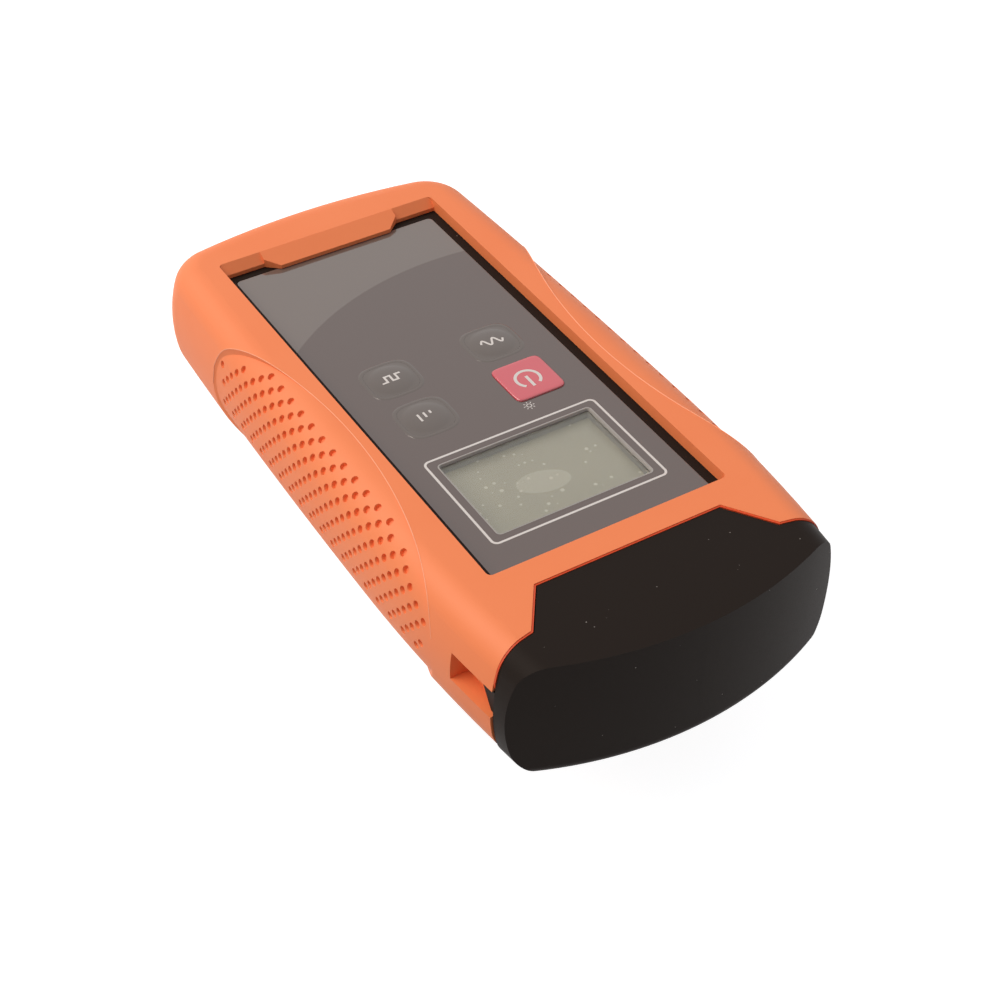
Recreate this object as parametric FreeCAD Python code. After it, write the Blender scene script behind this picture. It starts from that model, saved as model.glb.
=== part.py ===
import FreeCAD, Part
import math
import os

# Handheld optical light source: a soft boot round a two-part case, with a hinged cap over the fibre port

V = FreeCAD.Vector

# Outer form shared by the boot and the cap, in millimetres: X across, Y towards the port, Z up from the back
half_length = 88.1
half_width = 43.65
body_height = 32.0
widest_y = 25.7
rear_side_radius = 2200.0
front_side_radius = 410.0
end_radius = 170.0
corner_spread = 1.0
side_bulge_radius = 38.0
top_edge_radius = 7.0
back_edge_radius = 12.5
cap_end_radius = 87.0
nose_overrun = 18.0

# Boot: wall at mid-height, floor, lip round the panel window and opening over the back
boot_wall = 5.0
boot_floor = 2.0
lip_depth = 3.1
side_rim = 14.45
tail_rim = 16.6
bridge_width = 6.5
window_corner = 1.2
lip_slope = 2.2
lip_edge = 1.0
tab_reach = 2.8
tab_half_width = 15.0
tab_flare = 3.2
back_side_rim = 15.65
back_tail_rim = 11.3
back_bridge = 10.7
back_corner = 5.0
floor_end_gap = 5.6
arm_foot = 4.7

# Parting line between boot and cap, seen from above
cap_length = 26.7
notch_half_width = 22.7
notch_depth = 10.7
shoulder_half_width = 30.0
shoulder_sweep = 4.0
parting_gap = 0.45

# Side slots in the boot, and the cap's tongues that sit in them
slot_length = 14.0
slot_low = 15.4
slot_height = 7.0
slot_depth = 3.4
tongue_reach = 6.6
tongue_slant = 3.6
tongue_thickness = 1.6
tongue_clearance = 0.45

# Grips on the long sides: leaf-shaped recesses that flatten the shoulder and deepen towards the back
grip_centre_y = 2.2
grip_half_length = 52.0
grip_leaf_radius = 130.0
grip_top_inset = 12.15
grip_recess = 0.45
grip_shoulder_radius = 10.0
grip_back_radius = 14.0

# Case halves
case_gap = 0.15
case_wall = 2.0
case_chamfer = 4.5
case_overlap = 1.3
split_z = 15.5
split_gap = 0.05
post_size = 6.0
post_margin = 11.15
post_tail_rim = 20.8
post_front_rim = 15.0

# Keypad film, keys and display
film_thickness = 0.3
film_border = 2.3
film_tail_border = 4.3
film_tuck = 1.4
film_clearance = 0.15
display_setback = 25.2
display_width = 38.5
display_length = 25.3
display_corner = 0.8
key_side_margin = 13.65
power_key_setback = 28.4
key_row_pitch = 15.8
power_key_width = 12.4
power_key_length = 12.7
power_key_corner = 1.6
soft_key_width = 11.2
soft_key_length = 10.8
soft_key_corner = 3.4
key_rise = 0.5
key_crown = 0.45
key_clearance = 0.2
key_flange = 0.9
key_flange_thickness = 1.0
key_rest_gap = 0.1
key_stem_size = 4.0
key_travel = 0.4
lens_clearance = 0.1
lens_sink = 0.55
lens_flange = 1.5
lens_flange_thickness = 0.8
lcd_rim = 2.8
lcd_thickness = 2.0
lcd_frame_rim = 1.2
lcd_frame_height = 2.3
switch_size = 5.2
switch_height = 1.5

# Main board, clamped between posts of both case halves
board_margin = 0.8
board_tail_rim = 34.8
board_front_rim = 15.5
board_thickness = 1.6
board_post_size = 5.0
board_post_inset = 3.5
board_post_tail_inset = 5.0

# Battery bay in the rear case: three cells side by side
cell_radius = 7.25
cell_length = 49.5
cell_nub_radius = 2.75
cell_nub_length = 1.0
cell_pitch = 14.8
cell_count = 3
bay_tail_rim = 24.8
bay_wall = 1.5
bay_clearance = 0.4
contact_thickness = 0.4
contact_width = 6.0
contact_height = 10.0
spring_rise = 2.6
spring_curl = 0.8
spring_tip = 2.0
door_tail_margin = 9.0
door_corner = 2.0
door_clearance = 0.2
door_tab_reach = 2.0
door_tab_width = 9.0
door_tab_root = 1.2
door_tab_thickness = 1.2
door_screw_setback = 4.9

# Captive screw of the battery door
screw_radius = 1.25
screw_length = 8.0
screw_head_radius = 2.3
screw_head_height = 1.5
screw_clearance = 0.1
screw_tip_gap = 1.0
screw_boss_radius = 4.7

# Optical port
plate_thickness = 2.0
plate_clearance = 0.1
flange_size = 13.0
flange_thickness = 2.0
flange_corner = 1.2
barrel_radius = 4.0
barrel_length = 7.5
barrel_bore = 2.15
barrel_bore_depth = 5.0
barrel_key_width = 2.2
barrel_key_depth = 2.0
rear_barrel_radius = 3.6
rear_barrel_length = 9.0
port_clearance = 0.1
sleeve_outer = 1.6
sleeve_inner = 1.25
sleeve_length = 11.0
sleeve_slit = 0.4
sleeve_fit = 0.02

# Laser module behind the port, in a saddle on the floor of the case
module_radius = 3.2
module_length = 14.0
module_rim_radius = 3.8
module_rim_thickness = 1.6
module_fit = 0.02
saddle_width = 12.0
saddle_length = 9.0
saddle_inset = 3.0

# Cap and its hinge
cap_inset = 0.35
cap_wall = 2.2
cap_side_wall = 4.0
cap_chamfer = 4.5
cap_back_edge_radius = 9.5
cap_end_round = 3.0
hinge_reach = 8.0
hinge_z = 4.0
hinge_pin_radius = 1.5
hinge_fit = 0.05
knuckle_radius = 3.6
lug_radius = 3.1
lug_inner_x = 17.0
lug_outer_x = 24.0
lug_floor_gap = 0.85
knuckle_gap = 0.35
knuckle_margin = 11.65
heel_gap = 0.8
web_length = 6.0
pad_radius = 6.5
pad_thickness = 3.0
pad_boss_radius = 7.5
pad_boss_height = 5.0

# How far cutting tools reach past what they cut
over = 1.0

# Places and levels that follow from the sizes above
end_corner_radius = back_edge_radius + corner_spread
grip_corner_radius = grip_back_radius + corner_spread
tail_y = -half_length
notch_y = half_length - cap_length
shoulder_y = notch_y + notch_depth
case_end_y = notch_y + case_overlap
hinge_y = case_end_y + hinge_reach
window_near_y = notch_y - bridge_width
window_tail_y = tail_y + tail_rim
window_half_width = half_width - side_rim
middle_z = body_height / 2
port_z = middle_z
lip_under_z = body_height - lip_depth
case_inset = boot_wall + case_gap
case_bottom = boot_floor + case_gap
case_top = lip_under_z - case_gap
inside_inset = case_inset + case_wall
inside_bottom = case_bottom + case_wall
inside_top = case_top - case_wall
inside_chamfer = case_chamfer - case_wall / 2
post_x = half_width - post_margin
film_bottom = case_top - film_thickness
film_half_width = window_half_width - film_border
film_tail_y = window_tail_y + film_tail_border
key_x = film_half_width - key_side_margin
film_front_y = window_near_y + film_tuck
display_y = window_near_y - display_setback
power_key_y = display_y - power_key_setback
lower_key_y = power_key_y - key_row_pitch
lens_top = case_top - lens_sink
lens_bottom = inside_top - lens_flange_thickness
lcd_length = display_length + 2 * lcd_rim
lcd_bottom = lens_bottom - lcd_thickness
board_top = lcd_bottom - lcd_frame_height
board_bottom = board_top - board_thickness
board_half_width = post_x - post_size / 2 - board_margin
board_tail_y = tail_y + board_tail_rim
board_front_y = case_end_y - board_front_rim
cell_z = inside_bottom + cell_radius
bay_tail_y = tail_y + bay_tail_rim
bay_front_y = bay_tail_y + cell_length + cell_nub_length + spring_rise + 2 * contact_thickness
bay_half_width = (cell_count - 1) / 2 * cell_pitch + cell_radius + bay_clearance
door_tail_y = bay_tail_y - door_tail_margin
door_screw_y = bay_tail_y - door_screw_setback
plate_back_y = case_end_y - plate_thickness
flange_front_y = case_end_y + flange_thickness
barrel_end_y = flange_front_y + barrel_length
sleeve_front_y = barrel_end_y - barrel_bore_depth
sleeve_back_y = sleeve_front_y - sleeve_length
adapter_back_y = case_end_y - rear_barrel_length
module_back_y = adapter_back_y - module_length
knuckle_outer_x = half_width - knuckle_margin
pad_boss_y = half_length - cap_wall - pad_boss_height
up = V(0, 0, 1)
along = V(0, 1, 0)
across = V(1, 0, 0)


# Simple solids

def box(x0, x1, y0, y1, z0, z1):
    return Part.makeBox(x1 - x0, y1 - y0, z1 - z0, V(x0, y0, z0))


def cylinder(start, direction, radius, length):
    return Part.makeCylinder(radius, length, start, direction)


def everything_in_front_of(y):
    return box(-2 * half_width, 2 * half_width, y, 3 * half_length, -body_height, 2 * body_height)


def mirrored(shape):
    return shape.mirror(V(0, 0, 0), across)


def on_both_sides(points):
    return points + [(-x, y) for x, y in points]


def prism(corners, direction):
    face = Part.Face(Part.makePolygon(corners + corners[:1]))
    return face.extrude(direction)


def plan_prism(points, z0, z1):
    return prism([V(x, y, z0) for x, y in points], up * (z1 - z0))


def side_prism(points, x0, x1):
    return prism([V(x0, y, z) for y, z in points], across * (x1 - x0))


def rounded_plate(x, y, width, length, corner, z0, z1):
    block = box(x - width / 2, x + width / 2, y - length / 2, y + length / 2, z0, z1)
    uprights = [e for e in block.Edges if abs(e.tangentAt(e.FirstParameter).z) > 0.99]
    return block.makeFillet(corner, uprights)


def square_posts(places, size, z0, z1):
    half = size / 2
    return [box(x - half, x + half, y - half, y + half, z0, z1) for x, y in places]


# Outer form: a side profile carried round a plan outline of tangent arcs

def circle_crossing(first, first_radius, second, second_radius, side):
    span = second - first
    reach = (span.Length ** 2 + first_radius ** 2 - second_radius ** 2) / (2 * span.Length)
    offset = math.sqrt(first_radius ** 2 - reach ** 2)
    unit = V(span).normalize()
    return first + unit * reach + V(-unit.y, unit.x, 0) * offset * side


def touching_point(centre, radius, towards):
    return centre + (towards - centre).normalize() * radius


def flipped(point):
    return V(-point.x, point.y, point.z)


def plan_arcs(corner_radius):
    """Centre, start and end of each arc of the outline seen from above, all tangent to the next."""
    tail = V(0, tail_y + end_radius, 0)
    nose = V(0, half_length + nose_overrun - end_radius, 0)
    rear = V(half_width - rear_side_radius, widest_y, 0)
    front = V(half_width - front_side_radius, widest_y, 0)
    end_reach = end_radius - corner_radius
    tail_corner = circle_crossing(tail, end_reach, rear, rear_side_radius - corner_radius, 1)
    nose_corner = circle_crossing(nose, end_reach, front, front_side_radius - corner_radius, -1)
    widest = V(half_width, widest_y, 0)
    nose_end = touching_point(nose, end_radius, nose_corner)
    front_end = touching_point(front, front_side_radius, nose_corner)
    rear_end = touching_point(rear, rear_side_radius, tail_corner)
    tail_end = touching_point(tail, end_radius, tail_corner)
    right = [
        (nose_corner, nose_end, front_end),
        (front, front_end, widest),
        (rear, widest, rear_end),
        (tail_corner, rear_end, tail_end),
    ]
    left = [(flipped(c), flipped(end), flipped(start)) for c, start, end in reversed(right)]
    return right + [(tail, tail_end, flipped(tail_end))] + left + [(nose, flipped(nose_end), nose_end)]


def carried_round(profile, corner_radius=end_corner_radius):
    """Solid whose side is a profile of lines and arcs, as (offset, height), carried round the outline."""
    faces = []
    rims = [(profile[0][0], []), (profile[-1][-1], [])]
    for centre, start, end in plan_arcs(corner_radius):
        radius = (start - centre).Length
        first = (start - centre).normalize()
        last = (end - centre).normalize()
        turn = math.degrees(first.getAngle(last))
        axis = up if first.cross(last).z > 0 else -up
        for segment in profile:
            points = [centre + first * (radius + offset) + up * z for offset, z in segment]
            edge = Part.Arc(*points) if len(points) == 3 else Part.LineSegment(*points)
            faces += edge.toShape().revolve(centre, axis, turn).Faces
        for (offset, z), edges in rims:
            spokes = [first, (first + last).normalize(), last]
            edges.append(Part.Arc(*[centre + s * (radius + offset) + up * z for s in spokes]).toShape())
    faces += [Part.Face(Part.Wire(edges)) for rim, edges in rims]
    shell = Part.makeShell(faces)
    shell.sewShape()
    solid = Part.makeSolid(Part.Shell(shell.Faces))
    return solid if solid.Volume > 0 else solid.reversed()


def bulged_profile(inset, z0, z1, back_radius, top_radius):
    """Back rim, bulged side and top rim as three tangent arcs, with the side moved in by inset."""
    side_radius = side_bulge_radius - inset
    rims = []
    for radius, level, sign in ((back_radius, z0, -1), (top_radius, z1, 1)):
        rise = level - sign * radius - middle_z
        reach = math.sqrt((side_radius - radius) ** 2 - rise ** 2)
        lean = math.atan2(rise, reach)
        flat = sign * math.pi / 2
        rims.append([
            (reach + radius * math.cos(a) - side_bulge_radius, middle_z + rise + radius * math.sin(a))
            for a in (flat, (flat + lean) / 2, lean)
        ])
    back, top = rims
    return [back, [back[2], (-inset, middle_z), top[2]], top[::-1]]


def straight_profile(inset, z0, z1, chamfer):
    corner = (-inset, z0 + chamfer)
    return [[(-inset - chamfer, z0), corner], [corner, (-inset, z1)]]


def side_half_width(y):
    radius = front_side_radius if y > widest_y else rear_side_radius
    return half_width - radius + math.sqrt(radius ** 2 - (y - widest_y) ** 2)


def parting_tool(gap):
    """Everything in front of the boot's end, seen from above, moved forward by gap."""
    outside = half_width + boot_wall
    front = half_length + nose_overrun + boot_wall
    right = [
        (notch_half_width - gap, notch_y + gap),
        (shoulder_half_width - gap, shoulder_y + gap),
        (outside, shoulder_y + shoulder_sweep + gap),
        (outside, front),
    ]
    return plan_prism(right + [(-x, y) for x, y in reversed(right)], -body_height, 2 * body_height)


# Boot

def grip_leaf():
    """Right-hand grip seen from above: everything outside a long arc, between the ends of the grip."""
    centre = V(half_width - grip_top_inset + grip_leaf_radius, grip_centre_y, 0)
    leaf = cylinder(centre, up, grip_leaf_radius, body_height + over)
    low = grip_centre_y - grip_half_length
    high = grip_centre_y + grip_half_length
    return leaf.common(box(0, half_width + boot_wall, low, high, 0, body_height + over))


def grip_cutters():
    """What the grips take away: the leaves, down to a form with a narrower side and softer edges."""
    profile = bulged_profile(grip_recess, 0, body_height, grip_back_radius, grip_shoulder_radius)
    core = carried_round(profile, grip_corner_radius)
    leaf = grip_leaf()
    return [leaf.cut(core), mirrored(leaf).cut(core)]


def lip_wedge(reach):
    """Wedge under the slope of the tail lip, from the boot's top down to a thin edge."""
    behind = window_tail_y - lip_slope
    edge_y = window_tail_y + reach
    outline = [
        (behind, lip_under_z), (behind, body_height), (window_tail_y, body_height),
        (edge_y, lip_under_z + lip_edge), (edge_y, lip_under_z),
    ]
    return side_prism(outline, -window_half_width, window_half_width)


def tail_lip():
    """Sloping lip at the tail of the window, with the wider tab in its middle."""
    root_y = window_tail_y + lip_slope
    tab_y = root_y + tab_reach
    root = tab_half_width + tab_flare
    behind = window_tail_y - lip_slope
    plan = [
        (-root, root_y), (-tab_half_width, tab_y), (tab_half_width, tab_y),
        (root, root_y), (root, behind), (-root, behind),
    ]
    tab = lip_wedge(lip_slope + tab_reach).common(plan_prism(plan, lip_under_z, body_height))
    return lip_wedge(lip_slope).fuse(tab)


def window_opening():
    length = window_near_y - window_tail_y
    centre = (window_near_y + window_tail_y) / 2
    opening = rounded_plate(
        0, centre, 2 * window_half_width, length, window_corner, lip_under_z - over, body_height + over
    )
    return opening.cut(tail_lip())


def back_opening():
    near_y = notch_y - back_bridge
    far_y = tail_y + back_tail_rim
    width = 2 * (half_width - back_side_rim)
    centre = (near_y + far_y) / 2
    return rounded_plate(0, centre, width, near_y - far_y, back_corner, -over, boot_floor + over)


def slot_floor_x():
    return side_half_width(shoulder_y) - slot_depth


def side_slot():
    outside = half_width + boot_wall
    front = shoulder_y + shoulder_sweep + over
    start = shoulder_y + shoulder_sweep - over - slot_length
    return box(slot_floor_x(), outside, start, front, slot_low, slot_low + slot_height)


def make_boot():
    boot = carried_round(bulged_profile(0, 0, body_height, back_edge_radius, top_edge_radius))
    boot = boot.cut(grip_cutters())
    boot = boot.cut(carried_round(straight_profile(boot_wall, boot_floor, lip_under_z, case_chamfer)))
    boot = boot.cut([window_opening(), back_opening(), parting_tool(0)])
    floor_end_y = hinge_y - floor_end_gap
    boot = boot.cut(box(-half_width, half_width, floor_end_y, 2 * half_length, -over, arm_foot))
    slot = side_slot()
    return boot.cut([slot, mirrored(slot)])


# Case halves

def case_form(inset, z0, z1, chamfer):
    form = carried_round(straight_profile(inset, z0, z1, chamfer))
    return form.cut(everything_in_front_of(case_end_y))


def case_shell():
    shell = carried_round(straight_profile(case_inset, case_bottom, case_top, case_chamfer))
    inside = carried_round(straight_profile(inside_inset, inside_bottom, inside_top, inside_chamfer))
    return shell.cut([inside, everything_in_front_of(case_end_y)])


def case_posts():
    return on_both_sides([(post_x, tail_y + post_tail_rim), (post_x, case_end_y - post_front_rim)])


def board_posts():
    x = board_half_width - board_post_inset
    tail = board_tail_y + board_post_tail_inset
    front = (power_key_y + power_key_length / 2 + display_y - lcd_length / 2 - lcd_frame_rim) / 2
    return on_both_sides([(x, tail), (x, front)])


def keys():
    """Centre and form of each key, by name."""
    power = (power_key_width, power_key_length, power_key_corner)
    soft = (soft_key_width, soft_key_length, soft_key_corner)
    return {
        "power_key": (-key_x, power_key_y, power),
        "ident_key": (key_x, power_key_y, soft),
        "wavelength_key": (-key_x, lower_key_y, soft),
        "modulation_key": (key_x, lower_key_y, soft),
    }


def panel_holes(z0, z1):
    """Openings for the display and the keys."""
    holes = [rounded_plate(0, display_y, display_width, display_length, display_corner, z0, z1)]
    for x, y, (width, length, corner) in keys().values():
        gap = key_clearance
        holes.append(rounded_plate(x, y, width + 2 * gap, length + 2 * gap, corner + gap, z0, z1))
    return holes


def film_plate(gap, z0, z1):
    length = film_front_y - film_tail_y + 2 * gap
    centre = (film_front_y + film_tail_y) / 2
    return rounded_plate(0, centre, 2 * (film_half_width + gap), length, window_corner, z0, z1)


def make_front_case():
    floor = split_z + split_gap
    case = case_shell().cut(box(-half_width, half_width, -half_length, half_length, 0, floor))
    posts = square_posts(case_posts(), post_size, floor, inside_top)
    posts += square_posts(board_posts(), board_post_size, board_top, inside_top)
    case = case.fuse(posts)
    cuts = [film_plate(film_clearance, film_bottom, case_top + over)]
    return case.cut(cuts + panel_holes(inside_top - over, case_top + over))


def door_plate(gap):
    length = bay_front_y - door_tail_y + 2 * gap
    centre = (bay_front_y + door_tail_y) / 2
    width = 2 * (bay_half_width + gap)
    return rounded_plate(0, centre, width, length, door_corner, case_bottom, inside_bottom)


def door_tabs(gap):
    """Two tabs that hook the door over the floor in front of the bay."""
    half = door_tab_width / 2 + gap
    front = bay_front_y + door_tab_reach + gap
    top = inside_bottom + door_tab_thickness + gap
    return [
        box(x - half, x + half, bay_front_y - door_tab_root, front, inside_bottom, top)
        for x in (-cell_pitch, cell_pitch)
    ]


def hinge_lug():
    """Right-hand lug that carries a hinge pin in front of the case."""
    width = lug_outer_x - lug_inner_x
    low = boot_floor + lug_floor_gap
    eye = cylinder(V(lug_inner_x, hinge_y, hinge_z), across, lug_radius, width)
    root = box(lug_inner_x, lug_outer_x, plate_back_y, hinge_y, low, inside_bottom)
    arm = box(lug_inner_x, lug_outer_x, case_end_y, hinge_y, low, hinge_z + hinge_pin_radius)
    hole = cylinder(V(lug_inner_x - over, hinge_y, hinge_z), across, hinge_pin_radius, width + 2 * over)
    return eye.fuse([root, arm]).cut(hole)


def door_screw_hole():
    seat = V(0, door_screw_y, case_bottom + screw_head_height)
    return cylinder(seat, up, screw_radius + screw_clearance, screw_length + screw_tip_gap)


def make_rear_case():
    rim = split_z - split_gap
    case = case_shell().cut(box(-half_width, half_width, -half_length, half_length, rim, body_height))
    posts = square_posts(case_posts(), post_size, inside_bottom, rim)
    posts += square_posts(board_posts(), board_post_size, inside_bottom, board_bottom)
    bay = box(
        -bay_half_width - bay_wall, bay_half_width + bay_wall, bay_tail_y - bay_wall, bay_front_y + bay_wall,
        inside_bottom, rim,
    )
    boss = cylinder(V(0, door_screw_y, inside_bottom), up, screw_boss_radius, rim - inside_bottom)
    form = case_form(case_inset, case_bottom, case_top, case_chamfer)
    case = case.fuse([post.common(form) for post in posts] + [bay, boss])
    cuts = [box(-bay_half_width, bay_half_width, bay_tail_y, bay_front_y, inside_bottom, board_top)]
    cuts += [door_plate(door_clearance)] + door_tabs(door_clearance) + [door_screw_hole()]
    lug = hinge_lug()
    return case.cut(cuts).fuse([lug, mirrored(lug)])


# Keypad and display

def make_keypad_overlay():
    return film_plate(0, film_bottom, case_top).cut(panel_holes(film_bottom - over, case_top + over))


def make_key(x, y, form):
    width, length, corner = form
    top = case_top + key_rise
    flange_top = inside_top - key_rest_gap
    flange_bottom = flange_top - key_flange_thickness
    cap = rounded_plate(x, y, width, length, corner, flange_top, top)
    rim = [e for e in cap.Edges if min(v.Z for v in e.Vertexes) > top - key_crown]
    cap = cap.makeChamfer(key_crown, rim)
    half_x = width / 2 + key_flange
    half_y = length / 2 + key_flange
    flange = box(x - half_x, x + half_x, y - half_y, y + half_y, flange_bottom, flange_top)
    stem_bottom = board_top + switch_height + key_travel + key_rest_gap
    return cap.fuse([flange] + square_posts([(x, y)], key_stem_size, stem_bottom, flange_bottom))


def display_plate(grow, z0, z1):
    half_x = display_width / 2 + grow
    half_y = display_length / 2 + grow
    return box(-half_x, half_x, display_y - half_y, display_y + half_y, z0, z1)


def make_display_window():
    width = display_width - 2 * lens_clearance
    length = display_length - 2 * lens_clearance
    lens = rounded_plate(0, display_y, width, length, display_corner, inside_top, lens_top)
    return lens.fuse(display_plate(lens_flange, lens_bottom, inside_top))


def make_lcd_glass():
    return display_plate(lcd_rim, lcd_bottom, lens_bottom)


def make_lcd_frame():
    half_way = lcd_bottom + lcd_thickness / 2
    frame = display_plate(lcd_rim + lcd_frame_rim, board_top, half_way)
    return frame.cut(display_plate(lcd_rim + lens_clearance, lcd_bottom, lens_bottom))


def make_main_board():
    return box(-board_half_width, board_half_width, board_tail_y, board_front_y, board_bottom, board_top)


def make_key_switches():
    places = [(x, y) for x, y, form in keys().values()]
    return Part.makeCompound(square_posts(places, switch_size, board_top, board_top + switch_height))


# Battery bay

def turned_round(shape):
    """The same piece facing the other end of the bay."""
    return shape.mirror(V(0, (bay_tail_y + bay_front_y) / 2, 0), along)


def cell_x(index):
    return (index - (cell_count - 1) / 2) * cell_pitch


def facing(shape, index):
    return turned_round(shape) if index % 2 else shape


def make_battery_cell(index):
    start = V(cell_x(index), bay_tail_y + contact_thickness + spring_rise, cell_z)
    body = cylinder(start, along, cell_radius, cell_length)
    nub = cylinder(start + along * cell_length, along, cell_nub_radius, cell_nub_length)
    return facing(body.fuse(nub), index)


def make_battery_plate(index):
    x = cell_x(index)
    half_x = contact_width / 2
    half_z = contact_height / 2
    back_y = bay_front_y - contact_thickness
    return facing(box(x - half_x, x + half_x, back_y, bay_front_y, cell_z - half_z, cell_z + half_z), index)


def make_battery_spring(index):
    """Back plate with a leaf bent out from its foot, whose tip presses on the flat end of a cell."""
    half = contact_height / 2
    thick = contact_thickness
    tip = thick + spring_rise
    outline = [
        (0, -half), (2 * thick, -half), (tip, 0), (tip - spring_curl, spring_tip),
        (tip - spring_curl - thick, spring_tip), (tip - thick, 0), (thick, thick - half),
        (thick, half), (0, half),
    ]
    left = cell_x(index) - contact_width / 2
    places = [(bay_tail_y + out, cell_z + height) for out, height in outline]
    return facing(side_prism(places, left, left + contact_width), index)


def make_battery_door():
    door = door_plate(0).fuse(door_tabs(0))
    mouth = V(0, door_screw_y, case_bottom)
    well = cylinder(mouth, up, screw_head_radius + screw_clearance, screw_head_height)
    return door.cut([well, door_screw_hole()])


def make_door_screw():
    seat = V(0, door_screw_y, case_bottom + screw_head_height)
    head = cylinder(seat, -up, screw_head_radius, screw_head_height)
    return head.fuse(cylinder(seat, up, screw_radius, screw_length))


# Optical port and the laser module behind it

def make_end_plate():
    form = case_form(inside_inset + plate_clearance, inside_bottom, inside_top, inside_chamfer)
    plate = form.common(everything_in_front_of(plate_back_y))
    radius = rear_barrel_radius + port_clearance
    return plate.cut(cylinder(V(0, plate_back_y - over, port_z), along, radius, plate_thickness + 2 * over))


def turned(outline):
    """Solid of revolution about the port's axis, from (radius, distance along Y) corners."""
    corners = [V(radius, y, port_z) for radius, y in outline]
    face = Part.Face(Part.makePolygon(corners + corners[:1]))
    return face.revolve(V(0, 0, port_z), along, 360)


def make_fibre_adapter():
    sleeve_bore = sleeve_outer + sleeve_fit
    body = turned([
        (0, adapter_back_y), (rear_barrel_radius, adapter_back_y), (rear_barrel_radius, case_end_y),
        (barrel_radius, case_end_y), (barrel_radius, barrel_end_y), (barrel_bore, barrel_end_y),
        (barrel_bore, sleeve_front_y), (sleeve_bore, sleeve_front_y), (sleeve_bore, sleeve_back_y),
        (0, sleeve_back_y),
    ])
    flange = rounded_plate(0, 0, flange_size, flange_size, flange_corner, 0, flange_thickness)
    flange.rotate(V(0, 0, 0), across, -90)
    flange.translate(V(0, case_end_y, port_z))
    middle = cylinder(V(0, case_end_y - over, port_z), along, rear_barrel_radius, flange_thickness + 2 * over)
    half_key = barrel_key_width / 2
    key_y = barrel_end_y - barrel_key_depth
    slot = box(-half_key, half_key, key_y, barrel_end_y + over, port_z, port_z + 2 * barrel_radius)
    return body.fuse(flange.cut(middle)).cut(slot)


def make_ceramic_sleeve():
    sleeve = turned([
        (sleeve_inner, sleeve_back_y), (sleeve_outer, sleeve_back_y),
        (sleeve_outer, sleeve_front_y), (sleeve_inner, sleeve_front_y),
    ])
    half = sleeve_slit / 2
    low = port_z - 2 * sleeve_outer
    return sleeve.cut(box(-half, half, sleeve_back_y - over, sleeve_front_y + over, low, port_z))


def make_laser_module():
    rim_y = module_back_y + module_rim_thickness
    return turned([
        (0, module_back_y), (module_rim_radius, module_back_y), (module_rim_radius, rim_y),
        (module_radius, rim_y), (module_radius, adapter_back_y), (0, adapter_back_y),
    ])


def make_module_saddle():
    half = saddle_width / 2
    front_y = adapter_back_y - saddle_inset
    back_y = front_y - saddle_length
    block = box(-half, half, back_y, front_y, inside_bottom, port_z)
    radius = module_radius + module_fit
    return block.cut(cylinder(V(0, back_y - over, port_z), along, radius, saddle_length + 2 * over))


# Cap and hinge

def end_arc_tool(inset):
    """Everything behind the arched end of the cap, moved in by inset and rounded at its foot."""
    centre = V(0, half_length - cap_end_radius, cap_inset)
    tool = cylinder(centre, up, cap_end_radius - inset, 2 * body_height)
    foot = [e for e in tool.Edges if e.BoundBox.ZMax < cap_inset + over]
    return tool.makeFillet(cap_end_round, foot)


def cap_hinge_side():
    """Right-hand knuckle with the web that joins it to the floor of the cap."""
    inner_x = lug_outer_x + knuckle_gap
    length = knuckle_outer_x - inner_x
    knuckle = cylinder(V(inner_x, hinge_y, hinge_z), across, knuckle_radius, length)
    web = box(inner_x, knuckle_outer_x, hinge_y, hinge_y + web_length, cap_inset, hinge_z)
    return knuckle.fuse(web.common(end_arc_tool(0)))


def cap_tongue():
    """Right-hand tongue with a slanted edge that lies in the boot's side slot."""
    low = slot_low + tongue_clearance
    high = slot_low + slot_height - tongue_clearance
    edge_y = shoulder_y + shoulder_sweep
    outline = [
        (edge_y + cap_wall, low), (edge_y - tongue_reach + tongue_slant, low),
        (edge_y - tongue_reach, high), (edge_y + cap_wall, high),
    ]
    outer_x = side_half_width(edge_y) - cap_inset - tongue_clearance
    return side_prism(outline, outer_x - tongue_thickness, outer_x)


def make_dust_cap():
    back_radius = cap_back_edge_radius - cap_inset
    top_radius = top_edge_radius - cap_inset
    profile = bulged_profile(cap_inset, cap_inset, body_height - cap_inset, back_radius, top_radius)
    form = carried_round(profile)
    cap = form.common(parting_tool(parting_gap)).common(end_arc_tool(0))
    floor = cap_inset + cap_wall
    hollow = carried_round(straight_profile(cap_side_wall, floor, body_height - floor, cap_chamfer))
    hollow = hollow.common(end_arc_tool(cap_wall))
    heel_y = hinge_y + lug_radius + heel_gap
    heel = box(-knuckle_outer_x - over, knuckle_outer_x + over, 0, heel_y, 0, middle_z)
    cap = cap.cut([hollow, heel])
    boss = cylinder(V(0, pad_boss_y, port_z), along, pad_boss_radius, pad_boss_height + cap_wall / 2)
    hinge = cap_hinge_side()
    tongue = cap_tongue().common(form)
    cap = cap.fuse([boss, hinge, mirrored(hinge), tongue, mirrored(tongue)])
    radius = hinge_pin_radius + hinge_fit
    return cap.cut(cylinder(V(-half_width, hinge_y, hinge_z), across, radius, 2 * half_width))


def make_cap_pad():
    return cylinder(V(0, pad_boss_y - pad_thickness, port_z), along, pad_radius, pad_thickness)


def make_hinge_pin():
    return cylinder(V(lug_inner_x, hinge_y, hinge_z), across, hinge_pin_radius, knuckle_outer_x - lug_inner_x)


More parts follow.
